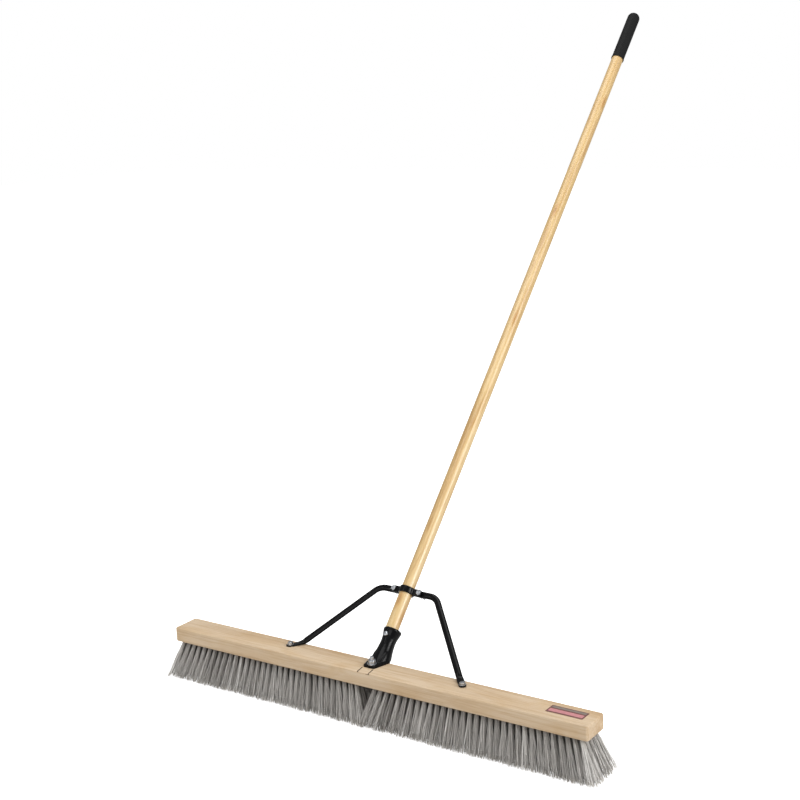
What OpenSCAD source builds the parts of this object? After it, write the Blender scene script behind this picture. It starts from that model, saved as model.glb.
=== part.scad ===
// Push broom: long hardwood block set with bristle tufts, a cast socket
// bracket bolted to its middle, a steel brace clamped to the handle, and a
// round hardwood handle with a moulded end grip.
// Origin: centre of the bristle-tip plane. +X along the block, +Y towards the
// side the handle leans to, +Z up.

/* [Block] */
// Length of the wooden block
block_l = 914.4; // [800:1:1000]
// Width of the wooden block, front to back
block_w = 60; // [58:0.5:70]
// Height of the wooden block
block_h = 28; // [26:0.5:34]
// Corner radius of the block in plan
block_r = 5; // [2:0.5:8]
// Depth of the two score lines in front of the bracket
score_d = 1.5; // [0.5:0.1:2]
// Width of each score line
score_w = 2; // [0.8:0.1:2.4]

/* [Bristles] */
// Trim: free length of the bristles below the block
trim = 73; // [60:1:90]
// Diameter of each drilled tuft hole
tuft_d = 6.4; // [5:0.1:7]
// Depth of each tuft hole
tuft_hole = 14; // [10:1:18]
// Radius of a tuft at its tip
tuft_tip_r = 5.4; // [4:0.1:6]
// Spacing of the rows, front to back
row_pitch = 10.75; // [10:0.25:11]
// Outward lean of the tufts at the block's ends
lean_end = 18; // [5:0.5:20]
// Inward lean of the tufts beside the middle gap
lean_mid = 8.5; // [4:0.5:8.5]
// Lean of the outer rows to the front and back
lean_row = 10; // [4:0.5:12.5]

/* [Handle] */
// Handle diameter
handle_d = 25.4; // [24:0.1:28]
// Diameter of the turned-down end of the handle, inside the socket
spigot_d = 19; // [17:0.1:19.5]
// Handle length
handle_l = 1574.8; // [1200:1:1700]
// Tilt of the handle from upright
tilt = 43.3; // [35:0.1:50]
// Where the handle's axis would cross the top of the block, behind its centre line
foot_y = 26.3; // [22:0.1:30]
// Outer diameter of the end grip
grip_d = 27.6; // [27:0.1:32]
// Length of the end grip
grip_l = 136; // [90:1:150]

/* [Bracket] */
// Outer radius of the socket body
socket_r = 14.2; // [13.9:0.1:14.6]
// Outer radius of the collar round the socket's mouth
collar_r = 17.2; // [16.9:0.1:18]
// Length of the socket along the handle, from the block top
socket_top = 65; // [55:1:75]
// Depth at which the handle's end stands, measured the same way
handle_start = 24; // [22:1:30]
// Radial running clearance of the handle in socket and clamp
fit = 0.05; // [0.02:0.01:0.08]
// Diameter of the bolt that holds the bracket
bolt_d = 8; // [6:0.5:9]
// Where that bolt stands, front to back
bolt_y = 1.5; // [-2:0.5:4]
// Where that bolt stands, side to side
bolt_x = 2; // [0:0.5:3]

/* [Brace] */
// Width of the brace's flat-oval tube
brace_w = 12.6; // [10:0.1:13]
// Thickness of the brace's flat-oval tube
brace_t = 8; // [6:0.5:8]
// Distance of each foot screw from the middle
foot_x = 193; // [185:1:205]
// Distance along the handle from the block top to the clamp
clamp_s = 144; // [135:1:155]
// Distance of each clamp bolt from the handle's axis
clamp_x = 28.3; // [27:0.1:32]
// Diameter of the clamp bolts
clamp_d = 5; // [4:0.5:6]

/* [Label] */
// Length of the blank colour label
label_l = 70; // [60:1:80]
// Width of the blank colour label
label_w = 27; // [20:1:28]

/* [Hidden] */
$fn = 48;
top_z = trim + block_h;
hr = handle_d / 2;
bore = hr + fit;
e = 0.01;

// First and last tuft of each bank, and how many tufts each row has
left_x0 = -441;   left_x1 = -19;   left_n = 32;
right_x0 = 24;    right_x1 = 441;  right_n = 32;

// ---- helpers -------------------------------------------------------------
// Frame on the handle's axis: local z runs up the handle, local y points
// forwards and up (square to the handle), local x is -X
module on_handle(s = 0) translate([0, foot_y, top_z]) rotate([-tilt, 0, 0])
    rotate([0, 0, 180]) translate([0, 0, s]) children();
function row_y(k) = (k - 3) * row_pitch;
function lean_left(x) = let (t = (x - left_x0) / (left_x1 - left_x0))
    -lean_end * pow(max(0, 1 - 1.7 * t), 1.2) + (lean_mid + 6) * pow(max(0, 2.1 * t - 1.1), 1.6);
function lean_right(x) = let (t = (right_x1 - x) / (right_x1 - right_x0))
    lean_end * pow(max(0, 1 - 1.7 * t), 1.2) - lean_mid * pow(max(0, 2.1 * t - 1.1), 1.6);
function lean_y(k) = lean_row * (k - 3) / 2;
module at_tuft(x, k, lx) translate([x, row_y(k), trim])
    rotate([lean_y(k), -lx, 0]) children();
// One tuft: a plug in its hole, a fan below it
module tuft() {
    translate([0, 0, -e]) cylinder(h = tuft_hole - 1.5 + e, d = tuft_d, $fn = 16);
    translate([0, 0, -trim - 14]) cylinder(h = trim + 14, r1 = tuft_tip_r, r2 = tuft_d / 2, $fn = 16);
}
module staple() translate([-tuft_d / 2 + 0.5, -0.6, tuft_hole - 1.5])
    cube([tuft_d - 1, 1.2, 1.45]);
module left_positions(k) {
    p = (left_x1 - left_x0) / (left_n - 1);
    for (i = [0:left_n - 1]) let (x = left_x0 + p * i)
        at_tuft(x, k, lean_left(x)) children();
}
module right_positions(k) {
    p = (right_x1 - right_x0) / (right_n - 1);
    for (i = [0:right_n - 1]) let (x = right_x0 + p * i)
        at_tuft(x, k, lean_right(x)) children();
}
// Every tuft is trimmed level with the floor
module left_row(k) intersection() {
    left_positions(k) tuft();
    translate([-600, -100, 0]) cube([1200, 200, top_z]);
}
module right_row(k) intersection() {
    right_positions(k) tuft();
    translate([-600, -100, 0]) cube([1200, 200, top_z]);
}
module stadium(w, t) {
    square([w - t, t], center = true);
    for (i = [-1, 1]) translate([i * (w - t) / 2, 0]) circle(d = t, $fn = 32);
}
module hexa(af, h) rotate([0, 0, 30]) cylinder(h = h, d = af / cos(30), $fn = 6);

// ---- block and bristles --------------------------------------------------
module block() color("burlywood") difference() {
    translate([0, 0, trim]) linear_extrude(block_h) {
        square([block_l - 2 * block_r, block_w], center = true);
        square([block_l, block_w - 2 * block_r], center = true);
        for (i = [-1, 1], j = [-1, 1])
            translate([i * (block_l / 2 - block_r), j * (block_w / 2 - block_r)])
                circle(r = block_r, $fn = 32);
    }
    // tuft holes
    for (k = [1:5]) {
        left_positions(k) translate([0, 0, -3]) cylinder(h = tuft_hole + 3, d = tuft_d, $fn = 16);
        right_positions(k) translate([0, 0, -3]) cylinder(h = tuft_hole + 3, d = tuft_d, $fn = 16);
    }
    // bracket bolt hole with the pocket for its head
    translate([bolt_x, bolt_y, trim - 1]) cylinder(h = block_h + 2, d = bolt_d + 0.4);
    translate([bolt_x, bolt_y, trim - 1]) cylinder(h = 6, d = 10.4);
    // pilot holes for the foot screws
    for (i = [-1, 1]) translate([i * foot_x, 7, top_z - 12]) cylinder(h = 13, d = 3.6);
    // two score lines from the bracket's front corners to the front edge
    for (i = [-1, 1]) translate([i * 12, -9.5, top_z - score_d]) rotate([0, 0, 10])
        translate([-score_w / 2, -24, 0]) cube([score_w, 24, score_d + 1]);
}
module tufts_left_row1() color("dimgray") left_row(1);
module tufts_left_row2() color("gray") left_row(2);
module tufts_left_row3() color("dimgray") left_row(3);
module tufts_left_row4() color("gray") left_row(4);
module tufts_left_row5() color("dimgray") left_row(5);
module tufts_right_row1() color("dimgray") right_row(1);
module tufts_right_row2() color("gray") right_row(2);
module tufts_right_row3() color("dimgray") right_row(3);
module tufts_right_row4() color("gray") right_row(4);
module tufts_right_row5() color("dimgray") right_row(5);
module tuft_staples() color("silver") for (k = [1:5]) {
    left_positions(k) staple();
    right_positions(k) staple();
}

// ---- bracket -------------------------------------------------------------
plate_t = 5;
spigot_top = 57;
// the socket's outside stands a little behind and beside the handle's axis
module off_axis(s) on_handle(s) translate([-1.5, -2.7, 0]) children();
module bracket() color("black") difference() {
    union() {
        // foot plate: square nose, wider heel
        translate([0, 0, top_z]) linear_extrude(plate_t)
            polygon([[-9.5, -8], [10.5, -8], [13, -5.5], [18, 12], [23, 30], [-21, 30], [-16.5, 12], [-12, -5.5]]);
        intersection() {
            union() {
                off_axis(-20) cylinder(h = 70, r = socket_r);
                off_axis(-20) cylinder(h = 52, r1 = 22.5, r2 = socket_r);
                off_axis(46) cylinder(h = 11, r1 = socket_r, r2 = collar_r - 0.2);
                off_axis(56.9) cylinder(h = socket_top - 56.9, r = collar_r);
                // web between nose and socket
                rotate([90, 0, 90]) translate([0, 0, -8]) linear_extrude(18)
                    polygon([[11, top_z], [40, top_z], [50, top_z + 22], [42, top_z + 28], [28, top_z + 18], [20, top_z + 11]]);
            }
            translate([-40, -20, top_z]) cube([80, 140, 140]);
        }
    }
    // stepped bore for the handle's turned-down end
    on_handle(handle_start - 0.5) cylinder(h = 80, r = spigot_d / 2 + fit);
    on_handle(spigot_top) cylinder(h = 80, r = bore);
    // hole and flat seat for the bolt
    translate([bolt_x, bolt_y, top_z - 1]) cylinder(h = 60, d = bolt_d + 0.4);
    translate([bolt_x, bolt_y, top_z + plate_t]) cylinder(h = 40, d = 19);
    // threaded hole for the collar screw
    on_handle(screw_s) rotate([-90, 0, 0]) cylinder(h = 30, d = 4.2);
}
screw_s = 50.5;
module bracket_bolt() color("silver") {
    translate([bolt_x, bolt_y, trim]) cylinder(h = 5, d = 10.2);
    translate([bolt_x, bolt_y, trim + 4]) cylinder(h = block_h + plate_t + 14, d = bolt_d);
}
module bracket_washer() color("silver") translate([bolt_x, bolt_y, top_z + plate_t]) difference() {
    cylinder(h = 1.6, d = 18);
    translate([0, 0, -1]) cylinder(h = 4, d = bolt_d + 0.4);
}
module bracket_nut() color("silver") translate([bolt_x, bolt_y, top_z + plate_t + 1.6]) difference() {
    hexa(13, 6.5);
    translate([0, 0, -1]) cylinder(h = 9, d = bolt_d);
}
module collar_screw() color("silver") on_handle(screw_s) rotate([-90, 0, 0]) {
    translate([0, 0, spigot_d / 2 + fit + 0.02]) cylinder(h = 5, d = 4.1);
    translate([0, 0, 13.9]) cylinder(h = 2.6, d = 9);
}

// ---- brace ---------------------------------------------------------------
// Everything from the lower bend to the clamp lies in one leaning plane: u
// along X, v up the plane. The clamp end is centred on the back half of the
// handle
brace_n = -(brace_t / 2 + 0.5);
cy = foot_y + clamp_s * sin(tilt) - brace_n * cos(tilt);
cz = top_z + clamp_s * cos(tilt) + brace_n * sin(tilt);
low_x = 175; low_y = 26.5; low_z = top_z + 5.5;
vlen = sqrt(pow(cy - low_y, 2) + pow(cz - low_z, 2));
lean = atan2(cy - low_y, cz - low_z);
bend_u = 63.5; bend_v = vlen; bend_r = 28;
a_in = atan2(bend_v, low_x - bend_u);
a_out = atan2(vlen - bend_v, bend_u - clamp_x);
turn = a_in - a_out;
tan_l = bend_r * tan(turn / 2);
leg = sqrt(pow(low_x - bend_u, 2) + pow(bend_v, 2));
module in_plane() translate([0, low_y, low_z]) rotate([90 - lean, 0, 0]) children();
module bar(len) rotate([90, 0, 90]) linear_extrude(len) stadium(brace_w, brace_t);
module half_brace() {
    in_plane() {
        translate([low_x, 0, 0]) rotate([0, 0, 180 - a_in]) bar(leg - tan_l + 0.6);
        translate([bend_u, bend_v, 0]) rotate([0, 0, -a_in]) translate([tan_l, -bend_r, 0])
            rotate([0, 0, 90]) rotate_extrude(angle = turn, $fn = 96)
                translate([bend_r, 0]) stadium(brace_w + 0.06, brace_t + 0.06);
        translate([bend_u, bend_v, 0]) rotate([0, 0, 180 - a_out]) translate([tan_l - 0.6, 0, 0])
            bar(bend_u - 11.4 - tan_l);
        translate([low_x, 0, 0]) sphere(d = brace_t + 1.5);
    }
    // flattened foot
    difference() {
        union() {
            translate([foot_x, 7, top_z]) cylinder(h = 3, d = 15);
            translate([foot_x, 7, top_z]) rotate([0, 0, atan2(low_y - 7, low_x - foot_x)])
                translate([0, -6, 0]) cube([27, 12, 3]);
            translate([low_x, low_y, top_z]) cylinder(h = 5, d = 11);
        }
        translate([foot_x, 7, top_z - 1]) cylinder(h = 6, d = 5.2);
    }
}
module brace() color("black") difference() {
    union() {
        half_brace();
        mirror([1, 0, 0]) half_brace();
        on_handle(clamp_s - brace_w / 2) difference() {
            cylinder(h = brace_w, r = bore + 3.5);
            translate([-40, -0.5, -1]) cube([80, 60, brace_w + 2]);
        }
    }
    on_handle(clamp_s - 30) cylinder(h = 60, r = bore);
    on_handle(clamp_s) for (i = [-1, 1]) translate([i * clamp_x, 0, 0])
        rotate([90, 0, 0]) cylinder(h = 40, d = clamp_d + 0.3, center = true);
    // the feet stand on the block
    translate([-250, -20, top_z - 20]) cube([500, 80, 20]);
    // flat seat for the clamp strap and the nuts
    on_handle(clamp_s - 12) translate([-45, -0.5, 0]) cube([90, 12, 24]);
    on_handle(clamp_s) for (i = [-1, 1]) translate([i * clamp_x, -brace_t - 0.2, 0])
        rotate([90, 0, 0]) cylinder(h = 12, d = 12.5);
}
module clamp_strap() color("black") on_handle(clamp_s) difference() {
    union() {
        translate([0, 0, -brace_w / 2]) cylinder(h = brace_w, r = bore + 2.5);
        for (i = [-1, 1]) {
            translate([i * clamp_x, 0.5, 0]) rotate([-90, 0, 0]) cylinder(h = 2.5, d = brace_w);
            translate([i > 0 ? 13 : -clamp_x, 0.5, -brace_w / 2]) cube([clamp_x - 13, 2.5, brace_w]);
        }
    }
    translate([0, 0, -20]) cylinder(h = 40, r = bore);
    translate([-40, -39.5, -20]) cube([80, 40, 40]);
    for (i = [-1, 1]) translate([i * clamp_x, 0, 0])
        rotate([90, 0, 0]) cylinder(h = 40, d = clamp_d + 0.3, center = true);
}
module clamp_bolts() color("silver") on_handle(clamp_s) for (i = [-1, 1]) translate([i * clamp_x, 3, 0]) {
    rotate([-90, 0, 0]) hexa(9, 3.6);
    rotate([90, 0, 0]) translate([0, 0, -0.5]) cylinder(h = 26, d = clamp_d);
}
module clamp_washers() color("silver") on_handle(clamp_s) for (i = [-1, 1])
    translate([i * clamp_x, -brace_t - 0.2, 0]) rotate([90, 0, 0]) difference() {
        cylinder(h = 1.2, d = 11);
        translate([0, 0, -1]) cylinder(h = 4, d = clamp_d + 0.3);
    }
module clamp_nuts() color("silver") on_handle(clamp_s) for (i = [-1, 1])
    translate([i * clamp_x, -brace_t - 1.4, 0]) rotate([90, 0, 0]) difference() {
        hexa(9, 4.2);
        translate([0, 0, -1]) cylinder(h = 6, d = clamp_d);
    }
module foot_screws() color("silver") for (i = [-1, 1]) translate([i * foot_x, 7, top_z]) {
    translate([0, 0, 4]) hexa(10, 4);
    translate([0, 0, -12]) cylinder(h = 16.5, d = 3.6);
}
module foot_washers() color("silver") for (i = [-1, 1]) translate([i * foot_x, 7, top_z + 3]) difference() {
    cylinder(h = 1, d = 13);
    translate([0, 0, -1]) cylinder(h = 3, d = 4.4);
}

// ---- label, handle and grip ----------------------------------------------
module label() color("firebrick") translate([402.7 - label_l / 2, 2.3 - label_w / 2, top_z])
    cube([label_l, label_w, 0.4]);
module handle() color("burlywood") on_handle(0) union() {
    translate([0, 0, handle_start]) cylinder(h = 60, d = spigot_d, $fn = 64);
    translate([0, 0, spigot_top + 0.2]) cylinder(h = handle_start + handle_l - spigot_top - 0.2, r = hr, $fn = 64);
}
grip_end = handle_start + handle_l + 6;
module grip() color("black") on_handle(0) difference() {
    union() {
        translate([0, 0, grip_end - grip_l]) cylinder(h = grip_l - 9, d = grip_d, $fn = 64);
        translate([0, 0, grip_end - 9]) rotate_extrude($fn = 64) intersection() {
            translate([grip_d / 2 - 9, 0]) circle(r = 9, $fn = 64);
            square([grip_d, 20]);
        }
        translate([0, 0, grip_end - 9.5]) cylinder(h = 9.5, r = grip_d / 2 - 9);
    }
    translate([0, 0, grip_end - grip_l - 1]) cylinder(h = grip_l - 5, r = hr, $fn = 64);
}

block();
tufts_left_row1();
tufts_left_row2();
tufts_left_row3();
tufts_left_row4();
tufts_left_row5();
tufts_right_row1();
tufts_right_row2();
tufts_right_row3();
tufts_right_row4();
tufts_right_row5();
tuft_staples();
bracket();
bracket_bolt();
bracket_washer();
bracket_nut();
collar_screw();
brace();
clamp_strap();
clamp_bolts();
clamp_washers();
clamp_nuts();
foot_screws();
foot_washers();
label();
handle();
grip();
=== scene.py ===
import math

import bmesh
import bpy
import numpy as np
from mathutils import Matrix, Vector


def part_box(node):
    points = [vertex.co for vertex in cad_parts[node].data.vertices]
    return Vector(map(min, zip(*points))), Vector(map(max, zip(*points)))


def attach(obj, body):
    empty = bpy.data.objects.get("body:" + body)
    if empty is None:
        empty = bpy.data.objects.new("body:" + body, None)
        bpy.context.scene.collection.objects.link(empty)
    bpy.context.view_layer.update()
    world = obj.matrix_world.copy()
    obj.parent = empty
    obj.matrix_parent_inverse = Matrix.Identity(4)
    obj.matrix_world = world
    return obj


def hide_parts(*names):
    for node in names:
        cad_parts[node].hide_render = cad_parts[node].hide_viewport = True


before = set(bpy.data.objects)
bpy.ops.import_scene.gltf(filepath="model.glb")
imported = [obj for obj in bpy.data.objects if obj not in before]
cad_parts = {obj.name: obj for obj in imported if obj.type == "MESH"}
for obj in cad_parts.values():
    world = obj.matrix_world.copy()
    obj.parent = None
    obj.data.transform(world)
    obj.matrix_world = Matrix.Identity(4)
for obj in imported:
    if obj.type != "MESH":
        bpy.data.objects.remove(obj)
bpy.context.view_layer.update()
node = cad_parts
rng = np.random.default_rng(36)
MM = 0.001

# ---------------------------------------------------------------- dimensions
TRIM, BLOCK_H, BLOCK_W, BLOCK_L = 73.0, 28.0, 60.0, 914.4
TOP = TRIM + BLOCK_H
TILT = math.radians(43.3)
FOOT_Y = 26.3
A = np.array([0.0, math.sin(TILT), math.cos(TILT)])      # up the handle
N = np.array([0.0, -math.cos(TILT), math.sin(TILT)])     # square to it, forwards and up
O = np.array([0.0, FOOT_Y, TOP])                         # handle axis at the block top
HR = 12.7
H0, HL = 24.0, 1574.8
CLAMP_S, CLAMP_X = 144.0, 28.3
FOOT_X, FOOT_SY = 193.0, 7.0


def on_axis(s, n=0.0, x=0.0):
    return O + A * s + N * n + np.array([x, 0, 0])


# ---------------------------------------------------------------- mesh tools
def add(name, co, faces, body, slot, mat, smooth=True, scale=MM, keep_local=None):
    """A mesh object from points in millimetres in the row frame."""
    me = bpy.data.meshes.new(name)
    co = np.asarray(co, float) * scale
    me.from_pydata([tuple(p) for p in co], [], [tuple(int(i) for i in f) for f in faces])
    me.validate()
    ob = bpy.data.objects.new(name, me)
    bpy.context.scene.collection.objects.link(ob)
    finish_piece(ob, body, mat, smooth, keep_local)
    return ob


def finish_piece(ob, body, mat, smooth=True, local=None):
    me = ob.data
    if smooth:
        me.polygons.foreach_set("use_smooth", [True] * len(me.polygons))
    me.materials.clear()
    for m in (mat if isinstance(mat, (list, tuple)) else [mat]):
        me.materials.append(m)
    fix_normals(me)
    if local is not None:            # put the object's own frame at this matrix
        me.transform(local.inverted())
        ob.matrix_world = local
    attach(ob, body)
    return ob


def fix_normals(me):
    bm = bmesh.new()
    bm.from_mesh(me)
    bmesh.ops.recalc_face_normals(bm, faces=bm.faces)
    bm.to_mesh(me)
    bm.free()
    me.update()


def crisp(ob, angle=35):
    """Smooth shading with sharp edges kept where faces meet at more than angle."""
    me = ob.data
    bm = bmesh.new()
    bm.from_mesh(me)
    lim = math.radians(angle)
    for e in bm.edges:
        if len(e.link_faces) == 2 and e.calc_face_angle(0) > lim:
            e.smooth = False
    bm.to_mesh(me)
    bm.free()
    me.polygons.foreach_set("use_smooth", [True] * len(me.polygons))
    me.update()


def lathe(profile, seg, frame3=None, close_ends=True):
    """Revolve (r, z) pairs about z. frame3 = (origin, ex, ey, ez) in mm."""
    co, faces, rings = [], [], []
    for r, z in profile:
        if r < 1e-6:
            rings.append([len(co)])
            co.append((0, 0, z))
        else:
            rings.append(list(range(len(co), len(co) + seg)))
            for i in range(seg):
                t = 2 * math.pi * i / seg
                co.append((r * math.cos(t), r * math.sin(t), z))
    for a, b in zip(rings, rings[1:]):
        for i in range(seg):
            j = (i + 1) % seg
            if len(a) == 1 and len(b) == 1:
                continue
            if len(a) == 1:
                faces.append((a[0], b[i], b[j]))
            elif len(b) == 1:
                faces.append((a[i], b[0], a[j]))
            else:
                faces.append((a[i], b[i], b[j], a[j]))
    co = np.array(co, float)
    if frame3 is not None:
        o, ex, ey, ez = [np.array(v, float) for v in frame3]
        co = o + co[:, :1] * ex + co[:, 1:2] * ey + co[:, 2:3] * ez
    return co, faces


def ring_sweep(rings, closed=False, cap=True):
    """Skin a list of point rings (each n x 3)."""
    n = len(rings[0])
    co = np.concatenate(rings)
    faces = []
    m = len(rings)
    for k in range(m if closed else m - 1):
        a, b = k * n, ((k + 1) % m) * n
        for i in range(n):
            j = (i + 1) % n
            faces.append((a + i, a + j, b + j, b + i))
    if cap and not closed:
        faces.append(tuple(range(n))[::-1])
        faces.append(tuple(range((m - 1) * n, m * n)))
    return co, faces


def section(w, t, power=2.6, n=28):
    """A superellipse section: w wide, t thick. power 2 is an ellipse, 8 is nearly a box."""
    out = []
    for i in range(n):
        a = 2 * math.pi * i / n
        c, s = math.cos(a), math.sin(a)
        out.append((0.5 * w * math.copysign(abs(c) ** (2 / power), c),
                    0.5 * t * math.copysign(abs(s) ** (2 / power), s)))
    return np.array(out)


def hex_head(af, h, chamfer=0.9, washer_r=0.0, washer_h=0.0):
    """Rings of a chamfered hexagon head standing on z = 0, with an optional flange."""
    seg = 48
    co, faces = [], []

    def ring(fn, z):
        base = len(co)
        for i in range(seg):
            t = 2 * math.pi * i / seg
            r = fn(t)
            co.append((r * math.cos(t), r * math.sin(t), z))
        return list(range(base, base + seg))

    def hexr(t, k=0.0):
        u = (t + math.pi / 6) % (math.pi / 3) - math.pi / 6
        return min((af / 2 - k) / math.cos(u), af / 2 * 1.125)

    rings = []
    if washer_r:
        rings.append(ring(lambda t: washer_r - 0.25, 0))
        rings.append(ring(lambda t: washer_r, 0.25))
        rings.append(ring(lambda t: washer_r, washer_h - 0.35))
        rings.append(ring(lambda t: washer_r - 0.5, washer_h))
        rings.append(ring(lambda t: hexr(t) + 0.15, washer_h + 0.05))
    rings.append(ring(hexr, washer_h + 0.15))
    rings.append(ring(hexr, washer_h + h - chamfer))
    rings.append(ring(lambda t: min(hexr(t), af / 2 * 1.06), washer_h + h - 0.45 * chamfer))
    rings.append(ring(lambda t: min(hexr(t, 0.25), af / 2 * 1.0), washer_h + h - 0.1))
    rings.append(ring(lambda t: af / 2 * 0.93, washer_h + h))
    for a, b in zip(rings, rings[1:]):
        for i in range(seg):
            j = (i + 1) % seg
            faces.append((a[i], a[j], b[j], b[i]))
    faces.append(tuple(rings[0][::-1]))
    faces.append(tuple(rings[-1]))
    return np.array(co, float), faces


def place(co, o, ex, ey, ez):
    co = np.asarray(co, float)
    return np.array(o) + co[:, :1] * np.array(ex) + co[:, 1:2] * np.array(ey) + co[:, 2:3] * np.array(ez)


def join(parts):
    """Several (co, faces) in one."""
    cs, fs, n = [], [], 0
    for co, faces in parts:
        cs.append(np.asarray(co, float))
        fs += [tuple(i + n for i in f) for f in faces]
        n += len(co)
    return np.concatenate(cs), fs


# ---------------------------------------------------------------- materials
def material(name):
    m = bpy.data.materials.new(name)
    m.use_nodes = True
    nt = m.node_tree
    bsdf = nt.nodes["Principled BSDF"]
    return m, nt, bsdf


def mk(nt, kind, **kw):
    n = nt.nodes.new(kind)
    for k, v in kw.items():
        if k in n.inputs:
            n.inputs[k].default_value = v
        else:
            setattr(n, k, v)
    return n


def ramp(nt, stops, interp="LINEAR"):
    r = nt.nodes.new("ShaderNodeValToRGB")
    r.color_ramp.interpolation = interp
    while len(r.color_ramp.elements) < len(stops):
        r.color_ramp.elements.new(0.5)
    for e, (p, c) in zip(r.color_ramp.elements, stops):
        e.position = p
        e.color = (*c, 1) if len(c) == 3 else c
    return r


def coords(nt, scale, loc=(0, 0, 0), rot=(0, 0, 0)):
    tc = nt.nodes.new("ShaderNodeTexCoord")
    mp = nt.nodes.new("ShaderNodeMapping")
    mp.inputs["Scale"].default_value = scale
    mp.inputs["Location"].default_value = loc
    mp.inputs["Rotation"].default_value = rot
    nt.links.new(tc.outputs["Object"], mp.inputs["Vector"])
    return mp


def noise(nt, vec, scale, detail=4.0, rough=0.5, distortion=0.0):
    n = nt.nodes.new("ShaderNodeTexNoise")
    n.inputs["Scale"].default_value = scale
    n.inputs["Detail"].default_value = detail
    n.inputs["Roughness"].default_value = rough
    n.inputs["Distortion"].default_value = distortion
    nt.links.new(vec.outputs[0], n.inputs["Vector"])
    return n


def mix(nt, fac, a, b, blend="MIX"):
    n = nt.nodes.new("ShaderNodeMix")
    n.data_type = "RGBA"
    n.blend_type = blend
    for sock, v in (("Factor", fac), ("A", a), ("B", b)):
        i = [s for s in n.inputs if s.name == sock and s.type == ("VALUE" if sock == "Factor" else "RGBA")][0]
        if hasattr(v, "links") or hasattr(v, "is_linked"):
            nt.links.new(v, i)
        else:
            i.default_value = v if sock == "Factor" else (*v, 1)
    return [s for s in n.outputs if s.type == "RGBA"][0]


def math_node(nt, op, a, b=None, clamp=False):
    n = nt.nodes.new("ShaderNodeMath")
    n.operation = op
    n.use_clamp = clamp
    for i, v in enumerate((a, b)):
        if v is None:
            continue
        if hasattr(v, "links"):
            nt.links.new(v, n.inputs[i])
        else:
            n.inputs[i].default_value = v
    return n.outputs[0]


def bump(nt, bsdf, height, strength, distance):
    b = nt.nodes.new("ShaderNodeBump")
    b.inputs["Strength"].default_value = strength
    b.inputs["Distance"].default_value = distance
    nt.links.new(height, b.inputs["Height"])
    nt.links.new(b.outputs[0], bsdf.inputs["Normal"])
    return b


def wood_block():
    m, nt, bsdf = material("block_wood")
    # object coordinates in metres, grain along X
    broad = noise(nt, coords(nt, (1.6, 22, 22)), 1.0, 3, 0.5, 0.6)
    grain = noise(nt, coords(nt, (7, 240, 240), (3, 0, 0)), 1.0, 6, 0.62, 0.4)
    pores = noise(nt, coords(nt, (28, 1300, 1300), (9, 0, 0)), 1.0, 3, 0.5)
    base = ramp(nt, [(0.28, (0.455, 0.325, 0.200)), (0.46, (0.535, 0.405, 0.268)), (0.60, (0.60, 0.475, 0.335)), (0.78, (0.50, 0.355, 0.215))])
    nt.links.new(broad.outputs["Fac"], base.inputs["Fac"])
    fine = ramp(nt, [(0.33, (0.74, 0.63, 0.50)), (0.52, (1, 1, 1)), (0.72, (1.0, 0.99, 0.97))])
    nt.links.new(grain.outputs["Fac"], fine.inputs["Fac"])
    c1 = mix(nt, 0.62, base.outputs["Color"], fine.outputs["Color"], "MULTIPLY")
    pr = ramp(nt, [(0.30, (0.62, 0.47, 0.34)), (0.42, (1, 1, 1))])
    nt.links.new(pores.outputs["Fac"], pr.inputs["Fac"])
    c2 = mix(nt, 0.4, c1, pr.outputs["Color"], "MULTIPLY")
    blot = noise(nt, coords(nt, (9, 26, 26), (4, 7, 1)), 1.0, 3, 0.55, 0.8)
    br = ramp(nt, [(0.42, (1, 1, 1)), (0.62, (0.93, 0.87, 0.77)), (0.78, (0.86, 0.76, 0.62))])
    nt.links.new(blot.outputs["Fac"], br.inputs["Fac"])
    c2 = mix(nt, 0.8, c2, br.outputs["Color"], "MULTIPLY")
    nt.links.new(c2, bsdf.inputs["Base Color"])
    rr = nt.nodes.new("ShaderNodeMapRange")
    rr.inputs["To Min"].default_value = 0.5
    rr.inputs["To Max"].default_value = 0.66
    nt.links.new(grain.outputs["Fac"], rr.inputs["Value"])
    nt.links.new(rr.outputs[0], bsdf.inputs["Roughness"])
    bsdf.inputs["Specular IOR Level"].default_value = 0.35
    h = math_node(nt, "ADD", grain.outputs["Fac"], pores.outputs["Fac"])
    bump(nt, bsdf, h, 0.35, 0.0003)
    return m


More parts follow.
